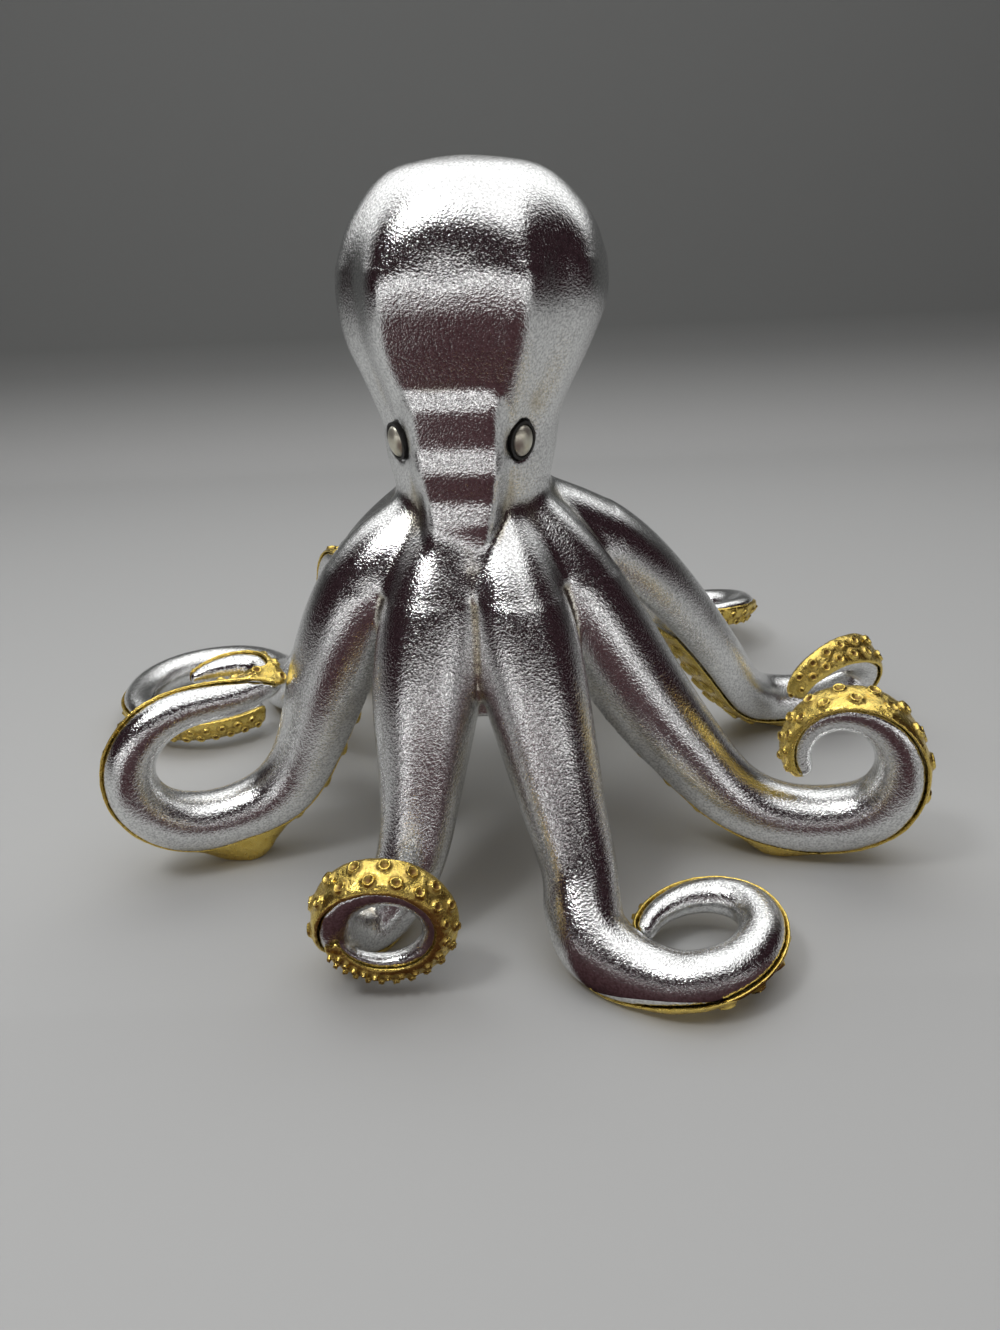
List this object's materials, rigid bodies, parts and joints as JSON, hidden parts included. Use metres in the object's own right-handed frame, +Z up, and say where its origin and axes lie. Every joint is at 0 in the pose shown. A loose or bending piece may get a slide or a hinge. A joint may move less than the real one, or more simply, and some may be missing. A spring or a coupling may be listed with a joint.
{
  "type": "octopus figurine",
  "caption": "Silver octopus figurine with a bulbous head, small oval eyes, curled arms and golden sucker bands along their undersides",
  "frame": {"origin": "on the table, at the centre of the figurine's footprint", "axes": "+Z up; the face and the two front arms look towards -Y; +X towards the figurine's left-hand arms, which a viewer in front sees on the right"},
  "size_m": [0.3009, 0.2555, 0.201],
  "materials": {
    "silver_foil": "silver metal foil over resin, granular and bright",
    "gold_foil": "gold metal foil over resin, bright with a brown wash in the recesses",
    "eye_silver": "smooth silver, slightly yellowish",
    "black_paint": "black gloss paint on resin",
    "bare_resin": "unpainted cast resin"
  },
  "bodies": {
    "root": {"body": "silver_foil", "base_plug": "bare_resin", "arm_front_left": "silver_foil", "arm_front_right": "silver_foil", "arm_right": "silver_foil", "arm_back_right": "silver_foil", "arm_rear_right": "silver_foil", "arm_rear_left": "silver_foil", "arm_back_left": "silver_foil", "arm_left": "silver_foil", "sucker_band_front_left": "gold_foil", "sucker_band_front_right": "gold_foil", "sucker_band_right": "gold_foil", "sucker_band_back_right": "gold_foil", "sucker_band_rear_right": "gold_foil", "sucker_band_rear_left": "gold_foil", "sucker_band_back_left": "gold_foil", "sucker_band_left": "gold_foil", "eye_left": "eye_silver", "eye_right": "eye_silver", "eye_rim_left": "black_paint", "eye_rim_right": "black_paint"}
  },
  "joints": []
}
